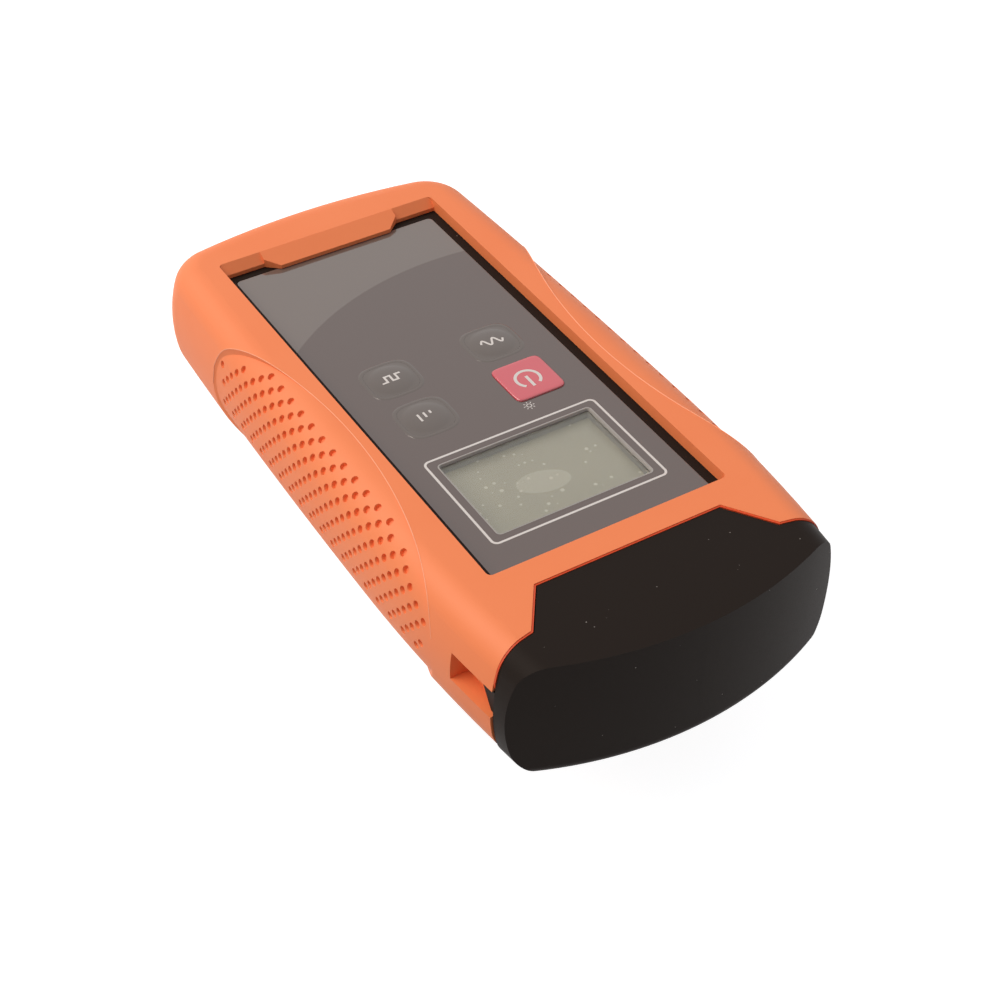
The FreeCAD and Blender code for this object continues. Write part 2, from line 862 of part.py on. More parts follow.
def build():
    pin = make_hinge_pin()
    nodes = {
        "boot": make_boot(),
        "front_case": make_front_case(),
        "rear_case": make_rear_case(),
        "keypad_overlay": make_keypad_overlay(),
        "display_window": make_display_window(),
        "lcd_glass": make_lcd_glass(),
        "lcd_frame": make_lcd_frame(),
        "main_board": make_main_board(),
        "key_switches": make_key_switches(),
        "battery_springs": Part.makeCompound([make_battery_spring(i) for i in range(cell_count)]),
        "battery_plates": Part.makeCompound([make_battery_plate(i) for i in range(cell_count)]),
        "battery_door": make_battery_door(),
        "door_screw": make_door_screw(),
        "end_plate": make_end_plate(),
        "fibre_adapter": make_fibre_adapter(),
        "ceramic_sleeve": make_ceramic_sleeve(),
        "module_saddle": make_module_saddle(),
        "laser_module": make_laser_module(),
        "dust_cap": make_dust_cap(),
        "cap_pad": make_cap_pad(),
        "hinge_pin_right": pin,
        "hinge_pin_left": mirrored(pin),
    }
    for name, (x, y, form) in keys().items():
        nodes[name] = make_key(x, y, form)
    for index in range(cell_count):
        nodes["battery_cell_%d" % (index + 1)] = make_battery_cell(index)
    return nodes


os.makedirs("parts", exist_ok=True)
for name, shape in build().items():
    shape.exportStep("parts/%s.step" % name)
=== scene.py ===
import math
import bmesh
import bpy
from mathutils import Matrix, Vector


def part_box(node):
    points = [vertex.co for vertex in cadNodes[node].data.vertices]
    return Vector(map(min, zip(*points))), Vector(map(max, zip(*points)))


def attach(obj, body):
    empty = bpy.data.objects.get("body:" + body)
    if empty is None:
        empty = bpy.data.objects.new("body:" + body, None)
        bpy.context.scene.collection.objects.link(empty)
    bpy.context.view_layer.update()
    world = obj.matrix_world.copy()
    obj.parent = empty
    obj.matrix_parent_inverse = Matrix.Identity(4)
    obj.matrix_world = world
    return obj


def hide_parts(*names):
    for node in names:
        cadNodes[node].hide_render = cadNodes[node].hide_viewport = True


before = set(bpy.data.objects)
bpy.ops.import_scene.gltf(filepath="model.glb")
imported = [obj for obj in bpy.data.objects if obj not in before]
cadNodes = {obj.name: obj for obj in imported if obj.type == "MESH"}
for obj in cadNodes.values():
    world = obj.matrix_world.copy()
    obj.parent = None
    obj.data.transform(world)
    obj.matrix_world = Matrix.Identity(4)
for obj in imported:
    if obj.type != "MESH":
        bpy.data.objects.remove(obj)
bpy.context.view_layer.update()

mm = 0.001
scene = bpy.context.scene


def linear(colour):  # sRGB hex to linear light
    channels = [int(colour[i:i + 2], 16) / 255 for i in (1, 3, 5)]
    return (*[c / 12.92 if c <= 0.04045 else ((c + 0.055) / 1.055) ** 2.4 for c in channels], 1.0)


def add(tree, kind, settings=None, links=None):  # node with settings, and links or constants by socket
    node = tree.nodes.new(kind)
    for key, value in (settings or {}).items():
        setattr(node, key, value)
    for key, value in (links or {}).items():
        for item in value if isinstance(value, list) else [value]:
            if isinstance(item, bpy.types.NodeSocket):
                tree.links.new(item, node.inputs[key])
            else:
                node.inputs[key].default_value = item
    return node


def corners(node):  # low and high corner of a CAD node in millimetres
    low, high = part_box(node)
    return low / mm, high / mm


# Shader steps

def startMaterial(name):
    material = bpy.data.materials.new(name)
    material.use_nodes = True
    material.node_tree.nodes.clear()
    coords = add(material.node_tree, "ShaderNodeTexCoord")
    return material, material.node_tree, coords.outputs["Object"]


def closeMaterial(tree, sockets):
    shader = add(tree, "ShaderNodeBsdfPrincipled", {}, sockets)
    add(tree, "ShaderNodeOutputMaterial", {}, {"Surface": shader.outputs[0]})


def noise(tree, place, patch, detail):  # soft patches of a size in millimetres
    texture = add(tree, "ShaderNodeTexNoise", {}, {
        "Vector": place, "Scale": 1 / (patch * mm), "Detail": detail})
    return texture.outputs[0]


def blended(tree, share, first, second):  # tint between two sRGB colours
    mix = add(tree, "ShaderNodeMix", {"data_type": "RGBA"}, {0: share, 6: linear(first), 7: linear(second)})
    return mix.outputs[2]


def between(tree, share, ends):  # value between two ends, for a share from 0 to 1
    return add(tree, "ShaderNodeMapRange", {}, {0: share, 3: ends[0], 4: ends[1]}).outputs[0]


def compute(tree, operation, first, second):
    return add(tree, "ShaderNodeMath", {"operation": operation}, {0: first, 1: second}).outputs[0]


def specks(tree, place, cell, largest):  # round marks of mixed sizes, one to a cell
    cells = add(tree, "ShaderNodeTexVoronoi", {}, {"Vector": place, "Scale": 1 / (cell * mm)})
    size = compute(tree, "MULTIPLY", cells.outputs["Color"], largest)
    return compute(tree, "LESS_THAN", cells.outputs["Distance"], size)


def grained(tree, finish, height):  # shallow bump from a fine grain
    bump = add(tree, "ShaderNodeBump", {}, {
        "Strength": finish["strength"], "Distance": finish["bump"] * mm, "Height": height})
    return bump.outputs[0]


# Finishes

elastomerFinish = {
    "orange": "#f48851", "deep": "#f0804a", "drift": 28.0, "rough": (0.5, 0.62), "index": 1.5,
    "grain": 0.45, "bump": 0.03, "strength": 0.25,
}


def mouldedElastomer():  # soft boot skin from an eroded tool: matt and even, with a faint drift in colour
    material, tree, place = startMaterial("mouldedElastomer")
    drift = noise(tree, place, elastomerFinish["drift"], detail=3.0)
    grain = noise(tree, place, elastomerFinish["grain"], detail=2.0)  # grit drawn about twice as coarse
    closeMaterial(tree, {
        "Base Color": blended(tree, drift, elastomerFinish["orange"], elastomerFinish["deep"]),
        "Roughness": between(tree, drift, elastomerFinish["rough"]), "IOR": elastomerFinish["index"],
        "Normal": grained(tree, elastomerFinish, grain)})
    return material


absFinish = {
    "black": "#241d19", "dust": "#928c86", "speckCell": 2.8, "speck": 0.065, "rough": (0.42, 0.54),
    "index": 1.53, "gloss": 0.05, "grain": 0.3, "bump": 0.02, "strength": 0.2,
}


def texturedAbs():  # black ABS with a fine eroded texture: low sheen, a few dust specks
    material, tree, place = startMaterial("texturedAbs")
    dust = specks(tree, place, absFinish["speckCell"], absFinish["speck"])
    grain = noise(tree, place, absFinish["grain"], detail=2.0)
    closeMaterial(tree, {
        "Base Color": blended(tree, dust, absFinish["black"], absFinish["dust"]),
        "Roughness": between(tree, grain, absFinish["rough"]), "IOR": absFinish["index"],
        "Specular IOR Level": absFinish["gloss"], "Normal": grained(tree, absFinish, grain)})
    return material


filmFinish = {
    "panel": "#523f38", "tail": "#6a5d56", "arcPlace": (-18.2, 20.3), "arcRadius": 70.8, "arcBlend": 0.4,
    "smudge": 35.0, "rough": (0.05, 0.12), "index": 1.58, "gloss": 0.9,
}


def printedFilm():  # polyester printed from behind: clear gloss over a warm grey. The grey is paler beyond an arc towards the tail
    material, tree, place = startMaterial("printedFilm")
    centre = Vector((*filmFinish["arcPlace"], corners("keypad_overlay")[1].z)) * mm
    reach = add(tree, "ShaderNodeVectorMath", {"operation": "DISTANCE"}, {0: place, 1: centre})
    radius = filmFinish["arcRadius"]
    beyond = add(tree, "ShaderNodeMapRange", {}, {
        0: reach.outputs["Value"], 1: radius * mm, 2: (radius + filmFinish["arcBlend"]) * mm})
    smudge = noise(tree, place, filmFinish["smudge"], detail=4.0)
    closeMaterial(tree, {
        "Base Color": blended(tree, beyond.outputs[0], filmFinish["panel"], filmFinish["tail"]),
        "Roughness": between(tree, smudge, filmFinish["rough"]), "IOR": filmFinish["index"],
        "Specular IOR Level": filmFinish["gloss"]})
    return material


windowFinish = {"tint": "#f4f7f5", "haze": 12.0, "rough": (0.0, 0.02), "index": 1.49}


def clearAcrylic():  # hard-coated acrylic: clear and glossy, with a faint haze of handling
    material, tree, place = startMaterial("clearAcrylic")
    haze = noise(tree, place, windowFinish["haze"], detail=2.0)
    closeMaterial(tree, {
        "Base Color": linear(windowFinish["tint"]), "Roughness": between(tree, haze, windowFinish["rough"]),
        "IOR": windowFinish["index"], "Transmission Weight": 1.0})
    return material


lcdFinish = {
    "grey": "#a99f8c", "pale": "#cbc2b3", "ovalPlace": (0.95, 30.54), "ovalTurn": -12.0,
    "ovalHalf": (6.2, 3.47, 1000.0),  # without an end in depth
    "ovalBlend": 0.03, "ovalShare": 0.45, "bubbleCell": 2.2, "bubble": 0.26, "rough": 0.25, "index": 1.52,
}


def displayGlass():  # unlit display: greenish grey with a pale oval patch, and small bubbles under its film
    material, tree, place = startMaterial("displayGlass")
    centre = Vector((*lcdFinish["ovalPlace"], corners("lcd_glass")[1].z)) * mm
    away = add(tree, "ShaderNodeVectorMath", {"operation": "SUBTRACT"}, {0: place, 1: centre})
    turned = add(tree, "ShaderNodeVectorRotate", {"rotation_type": "Z_AXIS"}, {
        "Vector": away.outputs[0], "Angle": math.radians(-lcdFinish["ovalTurn"])})
    scaled = add(tree, "ShaderNodeVectorMath", {"operation": "DIVIDE"}, {
        0: turned.outputs[0], 1: Vector(lcdFinish["ovalHalf"]) * mm})
    reach = add(tree, "ShaderNodeVectorMath", {"operation": "LENGTH"}, {0: scaled.outputs[0]})
    oval = add(tree, "ShaderNodeMapRange", {}, {
        0: reach.outputs["Value"], 1: 1 - lcdFinish["ovalBlend"], 2: 1 + lcdFinish["ovalBlend"],
        3: lcdFinish["ovalShare"], 4: 0.0})
    bubbles = specks(tree, place, lcdFinish["bubbleCell"], lcdFinish["bubble"])
    marks = compute(tree, "MAXIMUM", oval.outputs[0], bubbles)
    closeMaterial(tree, {
        "Base Color": blended(tree, marks, lcdFinish["grey"], lcdFinish["pale"]),
        "Roughness": lcdFinish["rough"], "IOR": lcdFinish["index"]})
    return material


def mottled(name, light, dark, patch, rough, metal=0.0, more=None):  # close tints and a sheen that drift
    material, tree, place = startMaterial(name)
    drift = noise(tree, place, patch, detail=3.0)
    closeMaterial(tree, {
        "Base Color": blended(tree, drift, light, dark), "Roughness": between(tree, drift, rough),
        "Metallic": metal, **(more or {})})
    return material


elastomer = mouldedElastomer()
blackAbs = texturedAbs()
panelFilm = printedFilm()
hardCoat = {"IOR": filmFinish["index"], "Specular IOR Level": filmFinish["gloss"]}
keyFilm = mottled("embossedFilm", "#56483f", "#52443c", 9.0, (0.08, 0.16), 0.0, hardCoat)  # over a key
redFilm = mottled("redPrintedFilm", "#d4505b", "#cd4b57", 9.0, (0.08, 0.16), 0.0, hardCoat)  # red print
edgeHighlight = mottled("paintedEdgeHighlight", "#aba59f", "#9d9791", 3.0, (0.1, 0.2))  # painted highlight: pale grey standing in for light caught on the window's cut edge
whiteInk = mottled("screenInk", "#dcd6d1", "#d2ccc7", 4.0, (0.35, 0.5))  # opaque white print
lipShadePaint = mottled("shadedLipElastomer", "#e2501f", "#d64518", 6.0, (0.5, 0.62))  # painted shade: deeper red standing in for the shaded gap where the boot meets the cap
flashHighlight = mottled("flashHighlight", "#ffb691", "#fda67c", 6.0, (0.4, 0.55))  # painted highlight: pale orange standing in for light caught along the mould line
greyFoam = mottled("closedCellFoam", "#a1988d", "#968d82", 1.2, (0.6, 0.8))  # dull, fine-celled
finishes = {
    "soft_boot": elastomer,
    "cap_plastic": blackAbs,
    "case_plastic": blackAbs,
    "keypad_film": panelFilm,
    "power_key": redFilm,
    "soft_key": keyFilm,
    "clear_window": clearAcrylic(),
    "lcd": displayGlass(),
    "rubber": mottled("nitrileRubber", "#1c1c1c", "#262626", 3.0, (0.6, 0.75)),  # soft, dull
    "white_plastic": mottled("whiteNylon", "#e4e2da", "#d8d6cc", 6.0, (0.4, 0.55)),  # waxy white
    "board": mottled("solderMask", "#0f5a2c", "#0b4a24", 5.0, (0.25, 0.4)),  # green lacquer
    "spring_steel": mottled("nickelledSpringSteel", "#bdb9b0", "#a8a49b", 2.0, (0.25, 0.4), 1.0),  # warm
    "steel": mottled("zincPlatedSteel", "#b4b6b8", "#9c9ea0", 1.5, (0.28, 0.42), 1.0),  # cool grey metal
    "cell": mottled(  # dark sleeve under a clear coat
        "printedCellSleeve", "#2a2f3a", "#222730", 8.0, (0.2, 0.3), 0.0, {"Coat Weight": 0.3}),
    "nickel": mottled("brightNickel", "#cdc8bd", "#bcb7ab", 1.5, (0.15, 0.28), 1.0),  # warm bright metal
    "ceramic": mottled("zirconia", "#efece4", "#e6e2d8", 1.5, (0.12, 0.2), 0.0, {"IOR": 2.15}),  # glossy
    "aluminium": mottled("milledAluminium", "#c4c5c6", "#acaeb0", 2.0, (0.3, 0.45), 1.0),  # pale satin
    "module_metal": mottled("weldedKovar", "#b5ae9e", "#9d9788", 2.5, (0.3, 0.45), 1.0),  # dull nickel-iron
}
for node in cadNodes.values():
    for slot in node.material_slots:
        material = finishes[slot.name.split(".")[0]]
        slot.link = "OBJECT"
        slot.material = material
print("finishes made:", len(bpy.data.materials))


# Meshes and pieces

edgeAngle = 35.0  # faces that meet at a lower angle shade as one
weldGap = 0.002  # corners nearer than this become one
keptLength = 0.5  # a kept direction is longer, and that of a cut face is zero


def linked(name, data):  # new object in the scene
    item = bpy.data.objects.new(name, data)
    scene.collection.objects.link(item)
    return item


def showPiece(name, mesh, material, body):
    mesh.materials.clear()
    mesh.materials.append(material)
    piece = linked(name, mesh)
    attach(piece, body)
    return piece


def closedMesh(name, points, faces, crease=edgeAngle):  # mesh from millimetres, faces outward
    mesh = bpy.data.meshes.new(name)
    mesh.from_pydata([Vector(p) * mm for p in points], [], faces)
    work = bmesh.new()
    work.from_mesh(mesh)
    bmesh.ops.recalc_face_normals(work, faces=work.faces)
    work.to_mesh(mesh)
    work.free()
    mesh.shade_smooth()
    mesh.set_sharp_from_angle(angle=math.radians(crease))
    return mesh


def showSolid(name, shape, material, body, crease=edgeAngle):  # piece from points and faces
    return showPiece(name, closedMesh(name, *shape, crease), material, body)


def lofted(rings):  # closed skin through rings of as many points each, flat at both ends
    count = len(rings[0])
    points = [point for ring in rings for point in ring]
    faces = [tuple(range(count)), tuple(range(len(points) - count, len(points)))]
    for level in range(len(rings) - 1):
        for i in range(count):
            a = level * count + i
            b = level * count + (i + 1) % count
            faces.append((a, b, b + count, a + count))
    return points, faces


def banded(rings):  # closed band through rings of as many points each, its last ring joined to its first
    points, faces = lofted(rings + rings[:1])
    keep = len(points) - len(rings[0])
    return points[:keep], [tuple(i % keep for i in face) for face in faces[2:]]


def joined(solids):  # points and faces of several closed solids as one list each
    points = []
    faces = []
    for more, sides in solids:
        faces += [tuple(len(points) + i for i in side) for side in sides]
        points += more
    return points, faces


def roundTurns(sides):  # even steps round a circle
    return [2 * math.pi * i / sides for i in range(sides)]


def tube(path, radius, sides):  # closed round bar along a path
    rings = []
    for index, spot in enumerate(path):
        ahead = (path[min(index + 1, len(path) - 1)] - path[max(index - 1, 0)]).normalized()
        across = ahead.cross(Vector((0, 0, 1))).normalized()
        rise = across.cross(ahead)
        rings.append([
            spot + across * radius * math.cos(a) + rise * radius * math.sin(a) for a in roundTurns(sides)])
    return lofted(rings)


def tiltedPoints(name, spots, tilts):  # loose points that each keep the direction of what is put there
    mesh = bpy.data.meshes.new(name)
    mesh.from_pydata([spot * mm for spot in spots], [], [])
    kept = mesh.attributes.new("tilt", "FLOAT_VECTOR", "POINT").data
    for index, tilt in enumerate(tilts):
        kept[index].vector = tilt
    return mesh


def weldedCopy(node):  # welded copy of a CAD mesh that keeps the direction of every corner
    source = cadNodes[node].data
    work = bmesh.new()
    work.from_mesh(source)
    layer = work.loops.layers.float_vector.new("skinNormal")
    order = 0
    for face in work.faces:
        for corner in face.loops:
            corner[layer] = source.corner_normals[order].vector
            order += 1
    bmesh.ops.remove_doubles(work, verts=work.verts, dist=weldGap * mm)
    mesh = bpy.data.meshes.new(node)
    work.to_mesh(mesh)
    work.free()
    return mesh


def restoreNormals(mesh):  # moulded faces shade by the kept directions, cut faces by their own
    mesh.shade_smooth()
    kept = mesh.attributes["skinNormal"].data
    normals = []
    for polygon in mesh.polygons:
        for corner in polygon.loop_indices:
            normal = kept[corner].vector
            normals.append(normal.normalized() if normal.length > keptLength else polygon.normal)
    mesh.normals_split_custom_set(normals)
    mesh.attributes.remove(mesh.attributes["skinNormal"])


# Geometry trees

def startTree(name, inputs):  # geometry tree with named inputs
    tree = bpy.data.node_groups.new(name, "GeometryNodeTree")
    tree.interface.new_socket("Geometry", in_out="INPUT", socket_type="NodeSocketGeometry")
    for label, kind in inputs.items():
        tree.interface.new_socket(label, in_out="INPUT", socket_type=kind)
    tree.interface.new_socket("Geometry", in_out="OUTPUT", socket_type="NodeSocketGeometry")
    return tree, add(tree, "NodeGroupInput")


def onPoints(tree, points, shape):  # copies of a shape, each turned to the direction that its point keeps
    tilt = add(tree, "GeometryNodeInputNamedAttribute", {"data_type": "FLOAT_VECTOR"}, {"Name": "tilt"})
    turn = add(tree, "FunctionNodeAlignRotationToVector", {"axis": "Z"}, {
        "Vector": tilt.outputs["Attribute"]})
    placed = add(tree, "GeometryNodeInstanceOnPoints", {}, {
        "Points": points, "Instance": shape, "Rotation": turn.outputs[0]})
    return add(tree, "GeometryNodeRealizeInstances", {}, {"Geometry": placed.outputs[0]}).outputs[0]


def cutAway(tree, body, cutters):
    cut = add(tree, "GeometryNodeMeshBoolean", {"operation": "DIFFERENCE", "solver": "MANIFOLD"}, {
        "Mesh 1": body, "Mesh 2": cutters})
    return cut.outputs[0]


def closeTree(tree, given, geometry):  # ends a tree with plain geometry in the given material
    real = add(tree, "GeometryNodeRealizeInstances", {}, {"Geometry": geometry})
    painted = add(tree, "GeometryNodeSetMaterial", {}, {
        "Geometry": real.outputs[0], "Material": given.outputs["Material"]})
    add(tree, "NodeGroupOutput", {}, {"Geometry": painted.outputs[0]})
    return tree


def growMesh(name, mesh, tree, values):  # plain mesh that a geometry tree makes from a mesh
    carrier = linked(name, mesh)
    modifier = carrier.modifiers.new(name, "NODES")
    modifier.node_group = tree
    for item in tree.interface.items_tree:
        if item.in_out == "INPUT" and item.name in values:
            modifier[item.identifier] = values[item.name]
    graph = bpy.context.evaluated_depsgraph_get()
    grown = bpy.data.meshes.new_from_object(carrier.evaluated_get(graph))
    carrier.modifiers.clear()
    bpy.data.objects.remove(carrier)
    return grown


# Boot with pitted grips

grip = {
    "widest": 25.7, "halfWidth": 43.65, "rearRadius": 2200.0, "frontRadius": 410.0, "height": 32.0,
    "bulge": 38.0, "recess": 0.45, "shoulder": 10.0, "back": 14.0, "centre": 2.2, "halfLength": 52.0,
}
skin = {
    "top": 2.2, "foot": 29.5, "low": -50.6, "high": 55.0, "across": 44, "along": 130, "wall": 1.2,
    "lift": 0.02, "sink": 0.05,
}
pits = {
    "columns": 10, "farSkip": 1, "rows": 23, "rowsBefore": 2, "firstColumn": 5.2, "columnPitch": 2.1,
    "firstRow": -37.74, "rowPitch": 5.14, "slant": 1.9, "topEdge": -0.3, "topCurve": 15.5, "low": -45.7,
    "high": 51.0, "radius": 0.92, "floorRadius": 0.7, "depth": 0.85, "mouth": 0.3, "sides": 12,
}


def profileArcs(recess, shoulder, back):  # shoulder, side and back arcs of a profile, from the top down
    middle = grip["height"] / 2
    side = grip["bulge"] - recess
    ends = []
    for radius, level in ((shoulder, grip["height"] - shoulder), (back, back)):
        reach = math.sqrt((side - radius) ** 2 - (level - middle) ** 2)
        ends.append((reach - grip["bulge"], level, radius, math.atan2(level - middle, reach)))
    top, foot = ends
    quarter = math.pi / 2
    return [(*top[:3], quarter, top[3]), (-grip["bulge"], middle, side, top[3], foot[3]), (*foot, -quarter)]


def planRadius(y):
    return grip["rearRadius"] if y < grip["widest"] else grip["frontRadius"]


def gripPoint(side, run, y):  # place and outward direction on a grip, at a run down its profile
    for centre, level, radius, start, end in profileArcs(grip["recess"], grip["shoulder"], grip["back"]):
        length = radius * (start - end)
        if run <= length:
            break
        run -= length
    lean = start - run / radius
    plan = planRadius(y)
    reach = plan + centre + radius * math.cos(lean)
    turn = math.asin((y - grip["widest"]) / reach)
    x = grip["halfWidth"] - plan + reach * math.cos(turn)
    flat = math.cos(lean)
    outward = Vector((side * flat * math.cos(turn), flat * math.sin(turn), math.sin(lean)))
    return Vector((side * x, y, level + radius * math.sin(lean))), outward


def gripSkin():  # fine closed slabs along both grips, a hair proud of the coarser facets
    points = []
    faces = []
    outward = {}
    across = skin["across"]
    along = skin["along"]
    step = along + 1
    layer = (across + 1) * step
    for side in (1, -1):
        start = len(points)
        for depth in (0, skin["wall"]):
            for i in range(across + 1):
                run = skin["top"] + (skin["foot"] - skin["top"]) * i / across
                for j in range(along + 1):
                    y = skin["low"] + (skin["high"] - skin["low"]) * j / along
                    spot, normal = gripPoint(side, run, y)
                    edge = i in (0, across) or j in (0, along)
                    if depth == 0:
                        outward[len(points)] = normal
                    points.append(spot + normal * ((-skin["sink"] if edge else skin["lift"]) - depth))
        for base in (start, start + layer):
            for i in range(across):
                for j in range(along):
                    a = base + i * step + j
                    faces.append((a, a + 1, a + step + 1, a + step))
        rim = [start + j for j in range(along)]
        rim += [start + i * step + along for i in range(across)]
        rim += [start + across * step + j for j in range(along, 0, -1)]
        rim += [start + i * step for i in range(across, 0, -1)]
        for a, b in zip(rim, rim[1:] + rim[:1]):
            faces.append((a, b, b + layer, a + layer))
    mesh = closedMesh("gripSkin", points, faces)
    kept = mesh.attributes.new("skinNormal", "FLOAT_VECTOR", "CORNER").data
    for corner in mesh.loops:
        normal = outward.get(corner.vertex_index)
        if normal:
            kept[corner.index].vector = normal
    return mesh


def pitLattice():  # floor of each pit, in slanting rows inside the leaf, with the direction it opens to
    spots = []
    tilts = []
    for side in (1, -1):
        first = 0 if side > 0 else pits["farSkip"]  # no pits show along the far shoulder
        for column in range(first, pits["columns"]):
            run = pits["firstColumn"] + pits["columnPitch"] * column
            for row in range(-pits["rowsBefore"], pits["rows"]):
                y = pits["firstRow"] + pits["rowPitch"] * row - pits["slant"] * column
                edge = pits["topEdge"] + pits["topCurve"] * ((y - grip["centre"]) / grip["halfLength"]) ** 2
                if pits["low"] <= y <= pits["high"] and run >= edge:
                    spot, tilt = gripPoint(side, run, y)
                    spots.append(spot - tilt * pits["depth"])
                    tilts.append(tilt)
    return tiltedPoints("pitLattice", spots, tilts)


def pitTree():  # joins the fine skins to the boot and sinks a tapered pit at each point of the lattice
    tree, given = startTree("pittedGrips", {
        "Skins": "NodeSocketObject", "Lattice": "NodeSocketObject", "Mouth radius": "NodeSocketFloat",
        "Floor radius": "NodeSocketFloat", "Height": "NodeSocketFloat", "Sides": "NodeSocketInt",
        "Material": "NodeSocketMaterial"})
    skins = add(tree, "GeometryNodeObjectInfo", {}, {"Object": given.outputs["Skins"]})
    lattice = add(tree, "GeometryNodeObjectInfo", {}, {"Object": given.outputs["Lattice"]})
    whole = add(tree, "GeometryNodeMeshBoolean", {"operation": "UNION", "solver": "MANIFOLD"}, {
        "Mesh 2": [given.outputs["Geometry"], skins.outputs["Geometry"]]})
    pit = add(tree, "GeometryNodeMeshCone", {}, {
        "Vertices": given.outputs["Sides"], "Radius Top": given.outputs["Mouth radius"],
        "Radius Bottom": given.outputs["Floor radius"], "Depth": given.outputs["Height"]})
    cutters = onPoints(tree, lattice.outputs["Geometry"], pit.outputs["Mesh"])
    return closeTree(tree, given, cutAway(tree, whole.outputs[0], cutters))


def makeBoot():
    skins = linked("gripSkins", gripSkin())
    lattice = linked("pitPlaces", pitLattice())
    flare = pits["mouth"] * (pits["radius"] - pits["floorRadius"]) / pits["depth"]
    mesh = growMesh("boot", weldedCopy("boot"), pitTree(), {
        "Skins": skins, "Lattice": lattice, "Material": elastomer, "Sides": pits["sides"],
        "Mouth radius": (pits["radius"] + flare) * mm, "Floor radius": pits["floorRadius"] * mm,
        "Height": (pits["depth"] + pits["mouth"]) * mm})
    bpy.data.objects.remove(skins)
    bpy.data.objects.remove(lattice)
    restoreNormals(mesh)
    boot = showPiece("pittedBoot", mesh, elastomer, "case")
    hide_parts("boot")
    print("boot faces:", len(mesh.polygons))


makeBoot()


# Mould line round the grips

flash = {
    "leafRadius": 130.0, "leafInset": 12.15, "shoulder": 7.0, "back": 12.5, "ridge": 0.1, "sides": 6,
    "stations": 110,
}


def bootLevel(x, y):  # height of the plain moulding, outside its grips
    plan = planRadius(y)
    offset = abs(x) - grip["halfWidth"] + plan - math.sqrt(plan ** 2 - (y - grip["widest"]) ** 2)
    for centre, level, radius, start, end in profileArcs(0, flash["shoulder"], flash["back"])[:2]:
        if offset <= centre + radius * math.cos(end):
            break
    lean = math.acos(max(0.0, (offset - centre) / radius))
    return level + radius * math.sin(lean)


def flashPoint(side, y):  # place on the boot where the leaf's edge crosses the plain moulding
    x = grip["halfWidth"] - flash["leafInset"] + flash["leafRadius"]
    x -= math.sqrt(flash["leafRadius"] ** 2 - (y - grip["centre"]) ** 2)
    return Vector((side * x, y, bootLevel(x, y)))


def makeFlash():  # fine line left where the mould's grip inserts meet the boot
    low = grip["centre"] - grip["halfLength"]
    count = flash["stations"]
    stations = [low + 2 * grip["halfLength"] * i / count for i in range(count + 1)]
    bars = []
    for side in (1, -1):
        path = [flashPoint(side, y) for y in stations]
        bars.append(tube(path, flash["ridge"], flash["sides"]))
    # its pale colour is a painted highlight along the ridge
    line = showSolid("mouldFlash", joined(bars), flashHighlight, "case")


makeFlash()


# Thin strips and paths

ink = {"proud": 0.015, "sunk": 0.05, "mitre": 0.5, "cornerSteps": 8}


def inkLine(path, width, level, closed=False, sunk=ink["sunk"]):  # thin closed strip along a path
    sections = []
    last = len(path) - 1
    for index, spot in enumerate(path):
        before = path[index - 1] if index or closed else spot
        after = path[(index + 1) % len(path)] if index < last or closed else spot
        into = (spot - before).normalized()
        out = (after - spot).normalized()
        along = (into + out).normalized()
        half = width / 2 / max(ink["mitre"], max(into.dot(along), out.dot(along)))
        left = spot + Vector((-along.y, along.x)) * half
        right = spot - Vector((-along.y, along.x)) * half
        z = level(spot.x, spot.y)
        high = z + ink["proud"]
        low = z - sunk
        sections.append([(*left, high), (*right, high), (*right, low), (*left, low)])
    return banded(sections) if closed else lofted(sections)


def arcPath(centre, radius, start, end, steps):
    turns = [math.radians(start + (end - start) * i / steps) for i in range(steps + 1)]
    return [Vector((centre[0] + radius * math.cos(a), centre[1] + radius * math.sin(a))) for a in turns]


def roundedPath(centre, width, length, corner):
    path = []
    for signX, signY, start in ((1, 1, 0), (-1, 1, 90), (-1, -1, 180), (1, -1, 270)):
        pivot = (centre.x + signX * (width / 2 - corner), centre.y + signY * (length / 2 - corner))
        path += arcPath(pivot, corner, start, start + 90, ink["cornerSteps"])
    return path


# Display window

filmTop = corners("keypad_overlay")[1].z
window = {
    "opening": (38.5, 25.3), "corner": 0.8, "leastCorner": 0.3, "seat": 1.2, "thickness": 0.6,
    "relief": 0.05, "clearance": 0.1, "gasketIn": -0.35, "gasketOut": 1.1, "gap": 0.02, "edgeOut": 0.1,
    "edgeIn": 0.25, "edgeProud": 0.02, "lineOut": 0.2, "lineStroke": 0.26,
}


def windowRing(centre, spread, z):  # outline of the display opening, spread outward by a distance
    width, length = window["opening"]
    corner = max(window["leastCorner"], window["corner"] + spread)
    path = roundedPath(centre, width + 2 * spread, length + 2 * spread, corner)
    return [Vector((*spot, z)) for spot in path]


